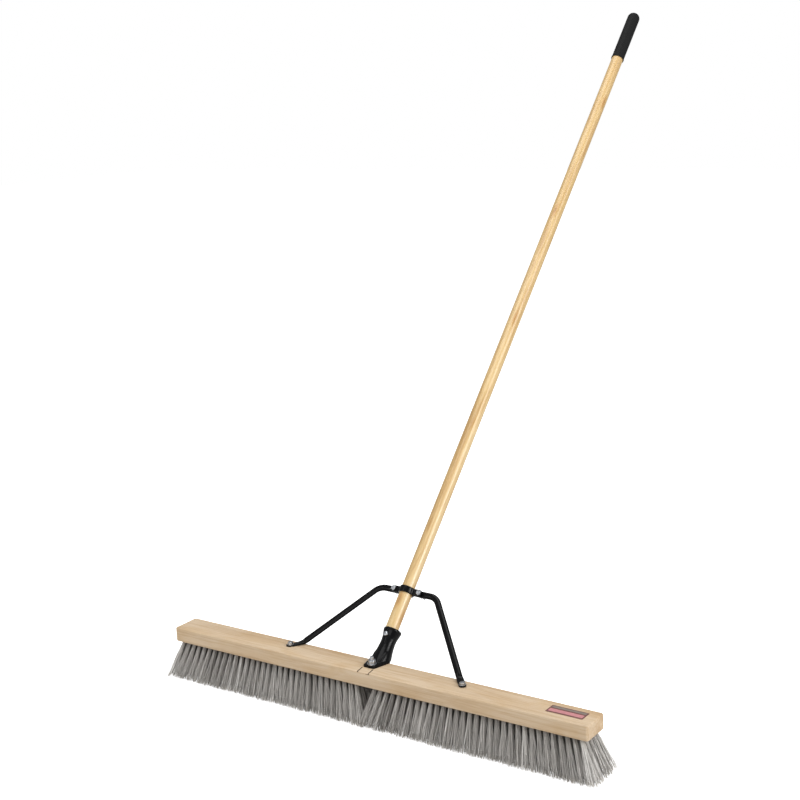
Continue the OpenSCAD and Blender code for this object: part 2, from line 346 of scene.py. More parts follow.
def wood_handle():
    m, nt, bsdf = material("handle_wood")
    # object coordinates in metres, grain along Z
    broad = noise(nt, coords(nt, (26, 26, 2.6)), 1.0, 3, 0.55, 0.5)
    streak = noise(nt, coords(nt, (170, 170, 5.5), (2, 1, 0)), 1.0, 5, 0.6, 0.7)
    fine = noise(nt, coords(nt, (900, 900, 22)), 1.0, 3, 0.5)
    knots = nt.nodes.new("ShaderNodeTexVoronoi")
    knots.inputs["Scale"].default_value = 1.0
    nt.links.new(coords(nt, (30, 30, 7.5), (0.3, 0.1, 0.2)).outputs[0], knots.inputs["Vector"])
    base = ramp(nt, [(0.28, (0.49, 0.325, 0.140)), (0.44, (0.60, 0.43, 0.205)), (0.58, (0.67, 0.51, 0.285)), (0.76, (0.58, 0.40, 0.18))])
    nt.links.new(broad.outputs["Fac"], base.inputs["Fac"])
    st = ramp(nt, [(0.30, (0.66, 0.48, 0.30)), (0.50, (1, 1, 1)), (0.75, (1.0, 0.985, 0.95))])
    nt.links.new(streak.outputs["Fac"], st.inputs["Fac"])
    c1 = mix(nt, 0.75, base.outputs["Color"], st.outputs["Color"], "MULTIPLY")
    fr = ramp(nt, [(0.32, (0.72, 0.58, 0.42)), (0.46, (1, 1, 1))])
    nt.links.new(fine.outputs["Fac"], fr.inputs["Fac"])
    c2 = mix(nt, 0.45, c1, fr.outputs["Color"], "MULTIPLY")
    kr = ramp(nt, [(0.03, (0.50, 0.29, 0.12)), (0.10, (0.82, 0.64, 0.42)), (0.20, (1, 1, 1))])
    nt.links.new(knots.outputs["Distance"], kr.inputs["Fac"])
    c3 = mix(nt, 0.8, c2, kr.outputs["Color"], "MULTIPLY")
    tc = nt.nodes.new("ShaderNodeTexCoord")
    sep = nt.nodes.new("ShaderNodeSeparateXYZ")
    nt.links.new(tc.outputs["Object"], sep.inputs[0])
    warm = ramp(nt, [(0.0, (1.0, 1.0, 1.0)), (0.35, (0.99, 0.965, 0.90)), (0.8, (0.93, 0.86, 0.70)), (1.0, (0.90, 0.80, 0.62))])
    nt.links.new(math_node(nt, "MULTIPLY", sep.outputs["Z"], 0.625, True), warm.inputs["Fac"])
    c3 = mix(nt, 1.0, c3, warm.outputs["Color"], "MULTIPLY")
    nt.links.new(c3, bsdf.inputs["Base Color"])
    rr = nt.nodes.new("ShaderNodeMapRange")
    rr.inputs["To Min"].default_value = 0.26
    rr.inputs["To Max"].default_value = 0.40
    nt.links.new(streak.outputs["Fac"], rr.inputs["Value"])
    nt.links.new(rr.outputs[0], bsdf.inputs["Roughness"])
    bsdf.inputs["Coat Weight"].default_value = 0.18
    bsdf.inputs["Coat Roughness"].default_value = 0.12
    h = math_node(nt, "ADD", streak.outputs["Fac"], fine.outputs["Fac"])
    bump(nt, bsdf, h, 0.22, 0.0002)
    return m


def black_enamel():
    m, nt, bsdf = material("black_enamel")
    peel = noise(nt, coords(nt, (260, 260, 260)), 1.0, 2, 0.5)
    tone = noise(nt, coords(nt, (40, 40, 40), (5, 2, 1)), 1.0, 4, 0.6)
    base = ramp(nt, [(0.35, (0.0022, 0.0022, 0.0025)), (0.7, (0.0045, 0.0045, 0.005))])
    nt.links.new(tone.outputs["Fac"], base.inputs["Fac"])
    geo = nt.nodes.new("ShaderNodeNewGeometry")
    edge = ramp(nt, [(0.56, (0, 0, 0)), (0.66, (1, 1, 1))])
    nt.links.new(geo.outputs["Pointiness"], edge.inputs["Fac"])
    speck = noise(nt, coords(nt, (600, 600, 600)), 1.0, 3, 0.6)
    sp = ramp(nt, [(0.55, (0, 0, 0)), (0.68, (1, 1, 1))])
    nt.links.new(speck.outputs["Fac"], sp.inputs["Fac"])
    wear = math_node(nt, "MULTIPLY", edge.outputs["Color"], sp.outputs["Color"])
    c = mix(nt, math_node(nt, "MULTIPLY", wear, 0.35), base.outputs["Color"], (0.12, 0.12, 0.125))
    nt.links.new(c, bsdf.inputs["Base Color"])
    rr = nt.nodes.new("ShaderNodeMapRange")
    rr.inputs["To Min"].default_value = 0.15
    rr.inputs["To Max"].default_value = 0.23
    nt.links.new(tone.outputs["Fac"], rr.inputs["Value"])
    nt.links.new(rr.outputs[0], bsdf.inputs["Roughness"])
    bsdf.inputs["Specular IOR Level"].default_value = 0.13
    bump(nt, bsdf, peel.outputs["Fac"], 0.10, 0.0002)
    return m


def zinc():
    m, nt, bsdf = material("zinc_plate")
    tone = noise(nt, coords(nt, (180, 180, 180)), 1.0, 4, 0.6)
    scr = noise(nt, coords(nt, (2200, 420, 420), (1, 4, 2)), 1.0, 3, 0.5)
    base = ramp(nt, [(0.3, (0.32, 0.335, 0.36)), (0.55, (0.47, 0.485, 0.51)), (0.8, (0.60, 0.61, 0.62))])
    nt.links.new(tone.outputs["Fac"], base.inputs["Fac"])
    nt.links.new(base.outputs["Color"], bsdf.inputs["Base Color"])
    bsdf.inputs["Metallic"].default_value = 1.0
    rr = nt.nodes.new("ShaderNodeMapRange")
    rr.inputs["To Min"].default_value = 0.20
    rr.inputs["To Max"].default_value = 0.38
    nt.links.new(scr.outputs["Fac"], rr.inputs["Value"])
    nt.links.new(rr.outputs[0], bsdf.inputs["Roughness"])
    bump(nt, bsdf, scr.outputs["Fac"], 0.12, 0.0001)
    return m


def grip_rubber():
    m, nt, bsdf = material("grip_rubber")
    # object coordinates in metres, Z along the grip
    tone = noise(nt, coords(nt, (60, 60, 22)), 1.0, 4, 0.6)
    peb = nt.nodes.new("ShaderNodeTexVoronoi")
    peb.inputs["Scale"].default_value = 1.0
    nt.links.new(coords(nt, (850, 850, 850)).outputs[0], peb.inputs["Vector"])
    base = ramp(nt, [(0.3, (0.003, 0.003, 0.0032)), (0.7, (0.0075, 0.0075, 0.008))])
    nt.links.new(tone.outputs["Fac"], base.inputs["Fac"])
    nt.links.new(base.outputs["Color"], bsdf.inputs["Base Color"])
    rr = nt.nodes.new("ShaderNodeMapRange")
    rr.inputs["To Min"].default_value = 0.55
    rr.inputs["To Max"].default_value = 0.72
    nt.links.new(tone.outputs["Fac"], rr.inputs["Value"])
    nt.links.new(rr.outputs[0], bsdf.inputs["Roughness"])
    bsdf.inputs["Specular IOR Level"].default_value = 0.18
    bump(nt, bsdf, peb.outputs["Distance"], 0.5, 0.0004)
    return m


def bristle(name):
    m, nt, bsdf = material(name)
    at = nt.nodes.new("ShaderNodeAttribute")
    at.attribute_name = "strand"
    along = nt.nodes.new("ShaderNodeAttribute")
    along.attribute_name = "along"
    streak = noise(nt, coords(nt, (260, 260, 60)), 1.0, 3, 0.6)
    base = ramp(nt, [(0.0, (0.24, 0.226, 0.211)), (0.30, (0.47, 0.449, 0.425)), (0.70, (0.65, 0.627, 0.598)), (1.0, (0.88, 0.863, 0.835))])
    nt.links.new(at.outputs["Fac"], base.inputs["Fac"])
    st = ramp(nt, [(0.3, (0.72, 0.71, 0.70)), (0.65, (1.0, 1.0, 1.0))])
    nt.links.new(streak.outputs["Fac"], st.inputs["Fac"])
    c1 = mix(nt, 0.55, base.outputs["Color"], st.outputs["Color"], "MULTIPLY")
    tip = ramp(nt, [(0.0, (0.70, 0.68, 0.66)), (0.25, (0.93, 0.92, 0.91)), (0.85, (1.0, 1.0, 1.0)), (1.0, (1.12, 1.10, 1.06))])
    nt.links.new(along.outputs["Fac"], tip.inputs["Fac"])
    c2 = mix(nt, 1.0, c1, tip.outputs["Color"], "MULTIPLY")
    # painted shade: the 'lit' attribute darkens the roots of the inner bristle rows
    root_shade_attr = nt.nodes.new("ShaderNodeAttribute")
    root_shade_attr.attribute_name = "lit"
    c2 = mix(nt, 1.0, c2, root_shade_attr.outputs["Color"], "MULTIPLY")
    nt.links.new(c2, bsdf.inputs["Base Color"])
    rr = nt.nodes.new("ShaderNodeMapRange")
    rr.inputs["To Min"].default_value = 0.42
    rr.inputs["To Max"].default_value = 0.60
    nt.links.new(at.outputs["Fac"], rr.inputs["Value"])
    nt.links.new(rr.outputs[0], bsdf.inputs["Roughness"])
    bsdf.inputs["Specular IOR Level"].default_value = 0.4
    return m


def label_film():
    m, nt, bsdf = material("label_film")
    # object coordinates in metres, centred on the label, X along it, Y across it
    tc = nt.nodes.new("ShaderNodeTexCoord")
    sep = nt.nodes.new("ShaderNodeSeparateXYZ")
    nt.links.new(tc.outputs["Object"], sep.inputs[0])
    ax = math_node(nt, "ABSOLUTE", sep.outputs["X"])
    inx = math_node(nt, "LESS_THAN", ax, 0.0322)
    lo = math_node(nt, "GREATER_THAN", sep.outputs["Y"], -0.0092)
    hi = math_node(nt, "LESS_THAN", sep.outputs["Y"], 0.0010)
    red = math_node(nt, "MULTIPLY", math_node(nt, "MULTIPLY", inx, lo), hi)
    inx2 = math_node(nt, "LESS_THAN", ax, 0.0322)
    lo2 = math_node(nt, "GREATER_THAN", sep.outputs["Y"], 0.0050)
    hi2 = math_node(nt, "LESS_THAN", sep.outputs["Y"], 0.0112)
    grey = math_node(nt, "MULTIPLY", math_node(nt, "MULTIPLY", inx2, lo2), hi2)
    soft = noise(nt, coords(nt, (120, 300, 120)), 1.0, 3, 0.6)
    rc = ramp(nt, [(0.3, (0.46, 0.17, 0.185)), (0.7, (0.60, 0.26, 0.27))])
    nt.links.new(soft.outputs["Fac"], rc.inputs["Fac"])
    edge = ramp(nt, [(0.3, (0.125, 0.045, 0.038)), (0.7, (0.185, 0.075, 0.062))])
    nt.links.new(soft.outputs["Fac"], edge.inputs["Fac"])
    c1 = mix(nt, red, edge.outputs["Color"], rc.outputs["Color"])
    gc = ramp(nt, [(0.3, (0.15, 0.125, 0.105)), (0.7, (0.25, 0.215, 0.18))])
    nt.links.new(soft.outputs["Fac"], gc.inputs["Fac"])
    c2 = mix(nt, grey, c1, gc.outputs["Color"])
    nt.links.new(c2, bsdf.inputs["Base Color"])
    rr = nt.nodes.new("ShaderNodeMapRange")
    rr.inputs["To Min"].default_value = 0.25
    rr.inputs["To Max"].default_value = 0.42
    nt.links.new(soft.outputs["Fac"], rr.inputs["Value"])
    nt.links.new(rr.outputs[0], bsdf.inputs["Roughness"])
    return m


def groove_painted_shade():
    # painted shade: a near-black wood for the groove faces, standing in for the shade inside the score grooves
    m, nt, bsdf = material("groove_painted_shade")
    tone = noise(nt, coords(nt, (180, 180, 180)), 1.0, 4, 0.6)
    base = ramp(nt, [(0.3, (0.035, 0.022, 0.012)), (0.7, (0.075, 0.05, 0.03))])
    nt.links.new(tone.outputs["Fac"], base.inputs["Fac"])
    nt.links.new(base.outputs["Color"], bsdf.inputs["Base Color"])
    bsdf.inputs["Roughness"].default_value = 0.8
    bsdf.inputs["Specular IOR Level"].default_value = 0.15
    return m


M_BLOCK, M_HANDLE, M_BLACK, M_ZINC = wood_block(), wood_handle(), black_enamel(), zinc()
M_GROOVE_SHADE = groove_painted_shade()
M_GRIP, M_FIBRE, M_LABEL = grip_rubber(), bristle("bristle_fibre"), label_film()


# ---------------------------------------------------------------- block
def build_block():
    """A long bar with rounded plan corners and softly rounded edges."""
    hx, hy, rp = BLOCK_L / 2, BLOCK_W / 2, 5.0
    er = 2.2                                       # edge rounding, top and bottom

    def outline(inset):
        pts = []
        for cx, cy, a0 in ((hx - rp, hy - rp, 0), (-hx + rp, hy - rp, 90), (-hx + rp, -hy + rp, 180), (hx - rp, -hy + rp, 270)):
            for k in range(9):
                a = math.radians(a0 + k * 90 / 8)
                r = max(rp - inset, 0.2)
                off = 0 if rp - inset > 0.2 else inset - (rp - 0.2)
                pts.append((cx + r * math.cos(a) - off * (1 if cx > 0 else -1), cy + r * math.sin(a) - off * (1 if cy > 0 else -1)))
        return pts

    def dense(pts, step=9.0):
        out = []
        n = len(pts)
        for i in range(n):
            p, q = np.array(pts[i]), np.array(pts[(i + 1) % n])
            m = max(1, int(round(np.linalg.norm(q - p) / step)))
            for k in range(m):
                out.append(p + (q - p) * k / m)
        return out

    ref = outline(0)
    n_ref = len(dense(ref))
    rings = []
    for k in range(5):                             # bottom rounding
        a = math.radians(90 * k / 4)
        rings.append((er * (1 - math.sin(a)), TRIM + er * (1 - math.cos(a))))
    for f in (0.25, 0.5, 0.75):
        rings.append((0, TRIM + er + (BLOCK_H - 2 * er) * f))
    for k in range(5):
        a = math.radians(90 * k / 4)
        rings.append((er * (1 - math.cos(a)), TOP - er * (1 - math.sin(a))))
    base = np.array(dense(ref))
    # inward direction for every outline point
    inner = np.array(dense(outline(er)))
    if len(inner) != len(base):
        inner = base.copy()
        inner[:, 0] = np.clip(base[:, 0], -hx + er, hx - er)
        inner[:, 1] = np.clip(base[:, 1], -hy + er, hy - er)
    out = []
    for inset, z in rings:
        p = base + (inner - base) * (inset / er)
        out.append(np.column_stack([p, np.full(len(p), z)]))
    co, faces = ring_sweep(out, cap=True)
    me = bpy.data.meshes.new("block_body")
    me.from_pydata([tuple(p) for p in co * MM], [], [tuple(f) for f in faces])
    ob = bpy.data.objects.new("block_body", me)
    bpy.context.scene.collection.objects.link(ob)
    fix_normals(me)
    return ob


def apply_mods(ob):
    bpy.context.view_layer.update()
    dg = bpy.context.evaluated_depsgraph_get()
    ev = ob.evaluated_get(dg)
    me = bpy.data.meshes.new_from_object(ev, depsgraph=dg)
    old = ob.data
    ob.modifiers.clear()
    ob.data = me
    bpy.data.meshes.remove(old)
    return ob


def cut(ob, tools):
    for t in tools:
        md = ob.modifiers.new("cut", "BOOLEAN")
        md.operation = "DIFFERENCE"
        md.object = t
        md.solver = "EXACT"
    apply_mods(ob)
    for t in tools:
        bpy.data.objects.remove(t)
    return ob


def raw(name, co, faces):
    me = bpy.data.meshes.new(name)
    me.from_pydata([tuple(p) for p in np.asarray(co) * MM], [], [tuple(f) for f in faces])
    fix_normals(me)
    ob = bpy.data.objects.new(name, me)
    bpy.context.scene.collection.objects.link(ob)
    return ob


# ---------------------------------------------------------------- tufts
def lean_left(x, x0, x1, mid):
    t = (x - x0) / (x1 - x0)
    return -19.5 * max(0.0, 1 - 1.7 * t) ** 1.2 + mid * max(0.0, 2.1 * t - 1.1) ** 1.6


def lean_right(x, x0, x1, mid):
    t = (x1 - x) / (x1 - x0)
    return 19.5 * max(0.0, 1 - 1.7 * t) ** 1.2 - mid * max(0.0, 2.1 * t - 1.1) ** 1.6


def tuft_places():
    """(bank, row, x, y, lean x, lean y) of every tuft, as drilled."""
    out = []
    for bank, x0, x1, n, fn in (("left", -441.0, -19.0, 32, lean_left), ("right", 24.0, 441.0, 32, lean_right)):
        p = (x1 - x0) / (n - 1)
        for row in (1, 2, 3, 4, 5):
            for i in range(n):
                x = x0 + p * i
                out.append((bank, row, x, (row - 3) * 10.75, fn(x, x0, x1, 8.5), fn(x, x0, x1, 16.5), 12.0 * (row - 3) / 2))
    return out


PLACES = tuft_places()


def build_tufts():
    per_piece = {}
    for bank, row, x, y, lx0, lx, ly in PLACES:
        per_piece.setdefault((bank, row), []).append((x, y, lx, ly))
    made = []
    SEG, SIDES = 5, 3
    for (bank, row), tufts in sorted(per_piece.items()):
        nf = 64
        total = nf * len(tufts)
        cos, strand, along, lit = [], [], [], []
        for x, y, lx, ly in tufts:
            jx, jy = rng.normal(0, 0.55), rng.normal(0, 0.7)          # each tuft a little off true
            ax = math.tan(math.radians(lx + jx))
            ay = math.tan(math.radians(ly + jy))
            tone = rng.normal(0, 0.07)
            outer = row in (1, 5) or abs(x) > 436
            root_shade = 0.12 if outer else 0.90                                # painted shade: the inner rows are darkened towards the root, where the rows and the block shade each other
            spread = 8.7 + rng.normal(0, 0.4)
            if abs(x) > 436:                                               # the end tufts fan wider and catch more light
                tone, spread = tone + 0.22, 9.6
                ax += math.copysign(0.03, x)
            # positions in the hole, even over the disc
            k = np.arange(nf)
            r0 = 3.05 * np.sqrt((k + 0.5) / nf)
            th = k * 2.399963 + rng.uniform(0, 6.28)
            u, v = r0 / 3.05 * np.cos(th), r0 / 3.05 * np.sin(th)
            u1 = u + rng.normal(0, 0.22, nf)
            v1 = v + rng.normal(0, 0.22, nf)
            tipz = np.abs(rng.normal(0, 1.3, nf)) + 0.1
            stray = rng.random(nf) < 0.03
            u1 = np.where(stray, u1 * 1.7, u1)
            v1 = np.where(stray, v1 * 1.7, v1)
            tipz = np.minimum(np.where(stray, tipz + rng.uniform(0, 6, nf), tipz), 12)
            ph1, ph2 = rng.uniform(0, 6.28, nf), rng.uniform(0, 6.28, nf)
            amp = rng.uniform(0.15, 0.55, nf)
            turns = rng.uniform(1.0, 2.2, nf)
            rad = rng.uniform(0.42, 0.58, nf)
            tn = np.clip(0.5 + tone + rng.normal(0, 0.20, nf), 0.02, 0.98)
            for q in range(SEG + 1):
                f = q / SEG
                z = (TRIM + 2.0) * (1 - f) + tipz * f
                d = TRIM - z                                           # depth below the block
                flare = 3.05 + (spread - 3.05) * f ** 1.1
                cx = x + ax * d + (u * (1 - f) + u1 * f) * flare + amp * np.sin(ph1 + turns * 6.28 * f) * f
                cy = y + ay * d + (v * (1 - f) + v1 * f) * flare + amp * np.cos(ph2 + turns * 6.28 * f) * f
                r = rad * (1.0 - 0.30 * f ** 3)
                for s in range(SIDES):
                    a = ph1 + 2 * math.pi * s / SIDES
                    cos.append(np.column_stack([cx + r * np.cos(a), cy + r * np.sin(a), np.broadcast_to(z, cx.shape)]))
                    strand.append(tn)
                    along.append(np.full(nf, f))
                    # painted shade on the inner rows' roots, fading out by 55 % of the length
                    lit.append(np.full(nf, 1 - root_shade * max(0.0, 1 - f / 0.55)))
        # arrange as [tuft][q][s][fibre] -> fibre-major
        per = (SEG + 1) * SIDES
        arr = np.array(cos).reshape(len(tufts), per, nf, 3).transpose(0, 2, 1, 3).reshape(-1, 3)
        st = np.array(strand).reshape(len(tufts), per, nf).transpose(0, 2, 1).reshape(-1)
        al = np.array(along).reshape(len(tufts), per, nf).transpose(0, 2, 1).reshape(-1)
        li = np.array(lit).reshape(len(tufts), per, nf).transpose(0, 2, 1).reshape(-1)
        loc = []
        for q in range(SEG):
            for s in range(SIDES):
                t = (s + 1) % SIDES
                loc.append((q * SIDES + s, q * SIDES + t, (q + 1) * SIDES + t, (q + 1) * SIDES + s))
        quads = np.array(loc)
        base = (np.arange(total) * per)[:, None, None]
        Q = (quads[None] + base).reshape(-1, 4)
        tris = np.array([[0, 2, 1], [SEG * SIDES, SEG * SIDES + 1, SEG * SIDES + 2]])
        Tq = (tris[None] + base).reshape(-1, 3)
        me = bpy.data.meshes.new(f"tufts_{bank}_{row}")
        nv, nq, nt_ = len(arr), len(Q), len(Tq)
        me.vertices.add(nv)
        me.vertices.foreach_set("co", (arr * MM).astype(np.float32).ravel())
        me.loops.add(nq * 4 + nt_ * 3)
        me.loops.foreach_set("vertex_index", np.concatenate([Q.ravel(), Tq.ravel()]).astype(np.int32))
        me.polygons.add(nq + nt_)
        starts = np.concatenate([np.arange(nq) * 4, nq * 4 + np.arange(nt_) * 3]).astype(np.int32)
        me.polygons.foreach_set("loop_start", starts)
        me.update(calc_edges=True)
        me.validate()
        a1 = me.attributes.new("strand", "FLOAT", "POINT")
        a1.data.foreach_set("value", st.astype(np.float32))
        a2 = me.attributes.new("along", "FLOAT", "POINT")
        a2.data.foreach_set("value", al.astype(np.float32))
        a3 = me.attributes.new("lit", "FLOAT", "POINT")
        a3.data.foreach_set("value", li.astype(np.float32))
        me.polygons.foreach_set("use_smooth", [True] * len(me.polygons))
        me.materials.append(M_FIBRE)
        ob = bpy.data.objects.new(f"filaments_{bank}_row{row}", me)
        bpy.context.scene.collection.objects.link(ob)
        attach(ob, "head")
        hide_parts(f"tufts_{bank}_row{row}")
        made.append(ob)
    return made


# ---------------------------------------------------------------- brace
def unit(v):
    v = np.asarray(v, float)
    return v / np.linalg.norm(v)


def fillet_path(pts, radii, step=2.0):
    """A polyline with rounded corners, as dense points."""
    out = [np.array(pts[0], float)]

    def line(q):
        p = out[-1]
        m = max(1, int(np.linalg.norm(q - p) / step))
        for k in range(1, m + 1):
            out.append(p + (q - p) * k / m)

    for i in range(1, len(pts) - 1):
        a, b, c = [np.array(pts[j], float) for j in (i - 1, i, i + 1)]
        d1, d2 = unit(a - b), unit(c - b)
        ang = math.acos(np.clip(d1 @ d2, -1, 1))
        R = radii[i]
        t = R / math.tan(ang / 2)
        p, q = b + d1 * t, b + d2 * t
        line(p)
        cdir = unit(d1 + d2)
        cen = b + cdir * (R / math.sin(ang / 2))
        v0, v1 = p - cen, q - cen
        tot = math.pi - ang
        m = max(4, int(R * tot / step))
        for k in range(1, m + 1):
            f = k / m
            s0 = math.sin((1 - f) * tot) / math.sin(tot)
            s1 = math.sin(f * tot) / math.sin(tot)
            out.append(cen + v0 * s0 + v1 * s1)
    line(np.array(pts[-1], float))
    return np.array(out)


BR_N = -4.5
CEN = on_axis(CLAMP_S, BR_N)
LOWB = np.array([175.0, 26.5, TOP + 5.2])
VDIR = unit(np.array([0, CEN[1] - LOWB[1], CEN[2] - LOWB[2]]))
VLEN = float(np.linalg.norm(np.array([0, CEN[1] - LOWB[1], CEN[2] - LOWB[2]])))


def inplane(u, v):
    return np.array([u, LOWB[1] + VDIR[1] * v, LOWB[2] + VDIR[2] * v])


def build_brace():
    """One steel tube: foot, lower bend, arm, upper bend, half wrap behind the handle, and
    the same again on the other side."""
    foot_dir = unit(np.array([LOWB[0] - FOOT_X, LOWB[1] - FOOT_SY, 0]))
    tip = np.array([FOOT_X, FOOT_SY, TOP + 1.6]) - foot_dir * 8.0
    f1 = np.array([FOOT_X, FOOT_SY, TOP + 1.6]) + foot_dir * 10
    low = np.array([LOWB[0], LOWB[1], TOP + 4.6])
    half = fillet_path([tip, f1, low, inplane(63.5, VLEN), inplane(30, VLEN)],
                       [0, 14, 11, 28, 0], 1.6)
    # half wrap behind the handle
    Rw = HR + 0.25 + 1.75
    cen = on_axis(CLAMP_S)
    flat_n = -3.0
    x_in = 19.0
    ease = [on_axis(CLAMP_S, BR_N + (flat_n - BR_N) * k / 4, 30 - (30 - x_in) * k / 4) for k in range(1, 5)]
    wrap = []
    th0 = math.degrees(math.asin(3.0 / Rw))
    # a small fillet from the flat into the wrap
    p_flat = on_axis(CLAMP_S, flat_n, x_in)
    c_start = np.array([math.cos(math.radians(-th0 - 22)) * Rw, math.sin(math.radians(-th0 - 22)) * Rw])
    p2 = on_axis(CLAMP_S, c_start[1], c_start[0])
    ctrl = on_axis(CLAMP_S, flat_n - 0.4, Rw * math.cos(math.radians(th0)) - 0.3)
    for k in range(1, 6):
        f = k / 6
        wrap.append((1 - f) ** 2 * p_flat + 2 * f * (1 - f) * ctrl + f * f * p2)
    a0, a1 = -th0 - 22, -90
    for k in range(0, 13):
        a = math.radians(a0 + (a1 - a0) * k / 12)
        wrap.append(on_axis(CLAMP_S, Rw * math.sin(a), Rw * math.cos(a)))
    path = np.array(list(half) + ease + wrap)
    mirror = path[:-1][::-1] * np.array([-1, 1, 1])
    full = np.concatenate([path, mirror])
    d = np.linalg.norm(np.diff(full, axis=0), axis=1)
    keep = np.concatenate([[True], d > 0.05])
    full = full[keep]
    d = np.linalg.norm(np.diff(full, axis=0), axis=1)
    s = np.concatenate([[0], np.cumsum(d)])
    L = s[-1]
    sm = np.minimum(s, L - s)
    # arc lengths of the landmarks
    def at(p):
        return sm[np.argmin(np.linalg.norm(full - p, axis=1))]
    s_low = at(low)
    s_ear = at(on_axis(CLAMP_S, BR_N, 36))
    s_flat = at(p_flat)
    up_foot = np.array([0, 0, 1.0])
    up_arm = np.cross(np.array([1.0, 0, 0]), VDIR)
    if up_arm[2] < 0:
        up_arm = -up_arm
    rings = []
    tan = np.gradient(full, axis=0)
    tan /= np.linalg.norm(tan, axis=1)[:, None]
    for i, p in enumerate(full):
        q = sm[i]
        # width, thickness, squareness by distance from the foot's end
        if q < 7:
            e = max(0.0, 1 - ((7 - q) / 7.0) ** 2) ** 0.5
            w, t, pw = max(14.0 * e, 2.0), 3.1 * (0.55 + 0.45 * e), 4.5
        elif q < s_low - 12:
            w, t, pw = 14.0, 3.1, 4.5
        elif q < s_low + 10:
            f = (q - s_low + 12) / 22
            f = f * f * (3 - 2 * f)
            w, t, pw = 14.0 + (12.6 - 14.0) * f - 0.8 * math.sin(math.pi * f), 3.1 + (8.0 - 3.1) * f, 4.5 + (2.3 - 4.5) * f
        elif q < s_ear - 8:
            w, t, pw = 12.6, 8.0, 2.3
        elif q < s_flat:
            f = min(1.0, (q - s_ear + 8) / max(1.0, (s_flat - s_ear + 4)))
            f = f * f * (3 - 2 * f)
            w, t, pw = 12.6, 8.0 + (4.4 - 8.0) * f, 2.3 + 2.4 * f
        else:
            w, t, pw = 12.6, 3.4, 5.0
            f = min(1.0, (q - s_flat) / 4.0)
            t = 4.4 + (3.4 - 4.4) * f
        # which way the flat faces
        if q < s_low - 10:
            up = up_foot
        elif q < s_low + 10:
            f = (q - s_low + 10) / 20
            f = f * f * (3 - 2 * f)
            up = unit(up_foot * (1 - f) + up_arm * f)
        elif q < s_ear - 10:
            up = up_arm
        elif q < s_flat:
            f = (q - s_ear + 10) / max(1.0, s_flat - s_ear + 10)
            up = unit(up_arm * (1 - f) + N * f)
        else:
            # on the wrap the flat faces the axis
            rel = p - cen
            rel = rel - A * (rel @ A)
            f = min(1.0, (q - s_flat) / 9.0)
            up = unit(N * (1 - f) + unit(-rel) * f)
        side = unit(np.cross(tan[i], up))
        up2 = unit(np.cross(side, tan[i]))
        sec = section(w, t, pw, 32)
        rings.append(p + sec[:, :1] * side + sec[:, 1:2] * up2)
    co, faces = ring_sweep(rings, cap=True)
    ob = raw("brace_tube", co, faces)
    return ob


def ear_cutters():
    tools = []
    for i in (-1, 1):
        co, faces = lathe([(0, -20), (2.65, -20), (2.65, 20), (0, 20)], 32,
                          (on_axis(CLAMP_S, 0, i * CLAMP_X), (1, 0, 0), A, N))
        tools.append(raw("hole", co, faces))
    return tools


def build_strap():
    """Pressed strap over the front of the handle, with a rounded ear each side."""
    t = 2.6
    Rw = HR + 0.05 + t / 2
    pts = []
    xe = CLAMP_X + 6.0
    n0 = 0.5 + t / 2
    x_start = 19.5
    for k in range(12):
        pts.append((xe - (xe - x_start) * k / 11, n0))
    a_s = 24
    p_s = (x_start, n0)
    p_e = (Rw * math.cos(math.radians(a_s)), Rw * math.sin(math.radians(a_s)))
    ctl = (Rw * 1.0 + 0.2, n0 + 0.1)
    for k in range(1, 7):
        f = k / 7
        pts.append(tuple((1 - f) ** 2 * np.array(p_s) + 2 * f * (1 - f) * np.array(ctl) + f * f * np.array(p_e)))
    for k in range(0, 15):
        a = math.radians(a_s + (90 - a_s) * k / 14)
        pts.append((Rw * math.cos(a), Rw * math.sin(a)))
    pts = pts + [(-x, n) for x, n in pts[:-1][::-1]]
    pts = np.array(pts)
    rings = []
    tn = np.gradient(pts, axis=0)
    tn /= np.linalg.norm(tn, axis=1)[:, None]
    for (x, n), (tx, tz) in zip(pts, tn):
        q = xe - abs(x)
        e = math.sqrt(max(0.0, 1 - ((6 - q) / 6) ** 2)) if q < 6 else 1.0
        w = max(12.8 * e, 1.2)
        nx, nz = -tz, tx
        sec = section(w, t, 5.0, 28)
        c = on_axis(CLAMP_S, n, x)
        side = A
        up = np.array([nx, 0, 0]) + N * nz
        rings.append(c + sec[:, :1] * side + sec[:, 1:2] * up)
    co, faces = ring_sweep(rings, cap=True)
    return raw("clamp_saddle", co, faces)


